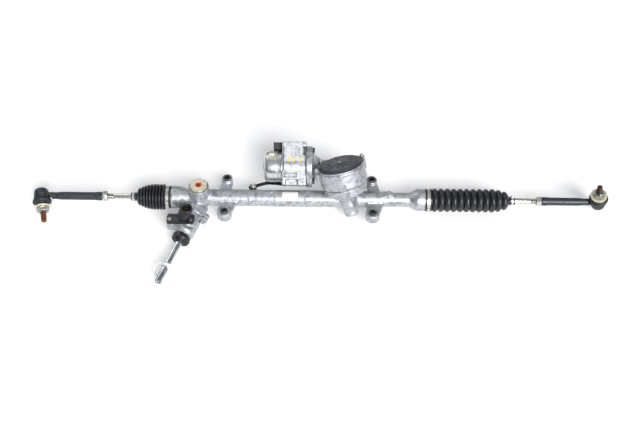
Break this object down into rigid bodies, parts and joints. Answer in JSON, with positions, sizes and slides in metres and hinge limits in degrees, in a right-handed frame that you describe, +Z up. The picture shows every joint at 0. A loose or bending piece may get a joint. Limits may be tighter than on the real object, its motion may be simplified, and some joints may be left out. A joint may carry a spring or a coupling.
{
  "type": "steering rack",
  "caption": "Electric power steering rack with an input pinion, a motor-driven assist pinion behind a worm wheel drum, rubber bellows, and tie rods with ball joint ends.",
  "frame": {"origin": "centre of the front left mounting bore, at the height of the rack's axis", "axes": "+X along the rack from the input shaft's side to the assist motor's right, +Z up along the mounting bolts, +Y to the rear, away from the input shaft"},
  "size_m": [1.3154, 0.3515, 0.1544],
  "materials": {
    "cast_aluminium": "satin, as cast",
    "machined_aluminium": "machined",
    "steel": "ground",
    "gear_steel": "hardened, ground",
    "zinc_steel": "zinc plated",
    "black_steel": "black coated forging",
    "rusty_steel": "lightly rusted",
    "rubber": "moulded, matte",
    "black_plastic": "moulded",
    "white_plastic": "moulded",
    "orange_plastic": "moulded",
    "natural_plastic": "moulded",
    "green_board": "coated",
    "copper_winding": "enamelled wire"
  },
  "bodies": {
    "housing": {"rack_housing": "cast_aluminium", "mount_sleeves": "steel", "rack_bushing": "natural_plastic", "support_yoke": "machined_aluminium", "rear_yoke": "machined_aluminium", "yoke_springs": "steel", "yoke_plug": "zinc_steel", "yoke_insert": "orange_plastic", "rear_yoke_plug": "zinc_steel", "sensor_housing": "cast_aluminium", "torque_sensor": "green_board", "sensor_connector": "black_plastic", "sensor_screws": "zinc_steel", "input_dust_cover": "rubber", "pinion_bearings": "gear_steel", "gear_housing": "cast_aluminium", "gear_cover": "black_plastic", "cover_screws": "zinc_steel", "assist_bearings": "gear_steel", "worm_end_cap": "black_steel", "worm_bearings": "gear_steel", "motor_can": "machined_aluminium", "motor_stator": "copper_winding", "controller_housing": "cast_aluminium", "motor_connector": "black_plastic", "flange_bolts": "black_steel", "stay_bracket": "zinc_steel", "left_bellows": "rubber", "right_bellows": "rubber", "bellows_bands": "steel"},
    "rack": {"rack_bar": "gear_steel", "left_inner_socket": "steel", "right_inner_socket": "steel"},
    "input_pinion": {"input_pinion": "gear_steel", "torsion_bar": "steel"},
    "input_shaft": {"input_shaft": "steel", "shaft_collar": "white_plastic"},
    "assist_pinion": {"assist_pinion": "gear_steel", "worm_wheel": "natural_plastic"},
    "worm": {"worm_shaft": "gear_steel", "motor_rotor": "gear_steel"},
    "left_ball_seat": {"left_ball_seat": "natural_plastic"},
    "left_tie_rod": {"left_inner_rod": "steel", "left_bellows_clip": "zinc_steel", "left_jam_nut": "zinc_steel", "left_tie_rod_end": "black_steel", "left_outer_boot": "rubber"},
    "left_stud_seat": {"left_stud_seat": "natural_plastic"},
    "left_stud": {"left_ball_stud": "rusty_steel", "left_stud_nut": "zinc_steel"},
    "right_ball_seat": {"right_ball_seat": "natural_plastic"},
    "right_tie_rod": {"right_inner_rod": "steel", "right_bellows_clip": "zinc_steel", "right_jam_nut": "zinc_steel", "right_tie_rod_end": "black_steel", "right_outer_boot": "rubber"},
    "right_stud_seat": {"right_stud_seat": "natural_plastic"},
    "right_stud": {"right_ball_stud": "steel", "right_stud_nut": "zinc_steel"}
  },
  "joints": [
    {"name": "rack_slide", "type": "slide", "parent": "housing", "child": "rack", "axis": [1, 0, 0], "range_m": [-0.125, 0.022], "deforming": ["left_bellows", "right_bellows"]},
    {"name": "input_turn", "type": "hinge", "parent": "housing", "child": "input_pinion", "pos_m": [-0.059, 0.046, -0.01586], "axis": [-0.309, -0.9511, 0], "range_deg": [-150, 842]},
    {"name": "torsion_twist", "type": "hinge", "parent": "input_pinion", "child": "input_shaft", "pos_m": [-0.059, 0.046, -0.01586], "axis": [-0.309, -0.9511, 0], "range_deg": [-4, 4], "stiffness_Nm_per_rad": 120},
    {"name": "assist_turn", "type": "hinge", "parent": "housing", "child": "assist_pinion", "pos_m": [0.283, 0.03193, 0.00732], "axis": [-0.2334, 0.449, 0.8625], "range_deg": [-153, 861]},
    {"name": "worm_turn", "type": "hinge", "parent": "housing", "child": "worm", "pos_m": [0.26759, 0.10819, 0.03998], "axis": [1, 0, 0], "range_deg": [-3340, 18925]},
    {"name": "left_rod_roll", "type": "hinge", "parent": "rack", "child": "left_ball_seat", "pos_m": [-0.142, 0.046, 0], "axis": [1, 0, 0], "continuous": true},
    {"name": "left_rod_swing", "type": "hinge", "parent": "left_ball_seat", "child": "left_tie_rod", "pos_m": [-0.142, 0.046, 0], "axis": [0, 1, 0], "range_deg": [-18, 18]},
    {"name": "left_stud_swivel", "type": "hinge", "parent": "left_tie_rod", "child": "left_stud_seat", "pos_m": [-0.424, 0.046, 0], "axis": [0.2079, -0.9354, -0.286], "continuous": true},
    {"name": "left_stud_tilt", "type": "hinge", "parent": "left_stud_seat", "child": "left_stud", "pos_m": [-0.424, 0.046, 0], "axis": [0, -0.2924, 0.9563], "range_deg": [-16, 16], "deforming": ["left_outer_boot"]},
    {"name": "right_rod_roll", "type": "hinge", "parent": "rack", "child": "right_ball_seat", "pos_m": [0.588, 0.046, 0], "axis": [1, 0, 0], "continuous": true},
    {"name": "right_rod_swing", "type": "hinge", "parent": "right_ball_seat", "child": "right_tie_rod", "pos_m": [0.588, 0.046, 0], "axis": [0, 1, 0], "range_deg": [-18, 18]},
    {"name": "right_stud_swivel", "type": "hinge", "parent": "right_tie_rod", "child": "right_stud_seat", "pos_m": [0.856, 0.046, 0], "axis": [-0.2079, -0.1192, 0.9709], "continuous": true},
    {"name": "right_stud_tilt", "type": "hinge", "parent": "right_stud_seat", "child": "right_stud", "pos_m": [0.856, 0.046, 0], "axis": [0, 0.9925, 0.1219], "range_deg": [-16, 16], "deforming": ["right_outer_boot"]}
  ],
  "couplings": [
    {"joint": "input_turn", "follows": "rack_slide", "rad_per_m": -117.41},
    {"joint": "assist_turn", "follows": "rack_slide", "rad_per_m": -120.05},
    {"joint": "worm_turn", "follows": "rack_slide", "rad_per_m": -2641}
  ]
}
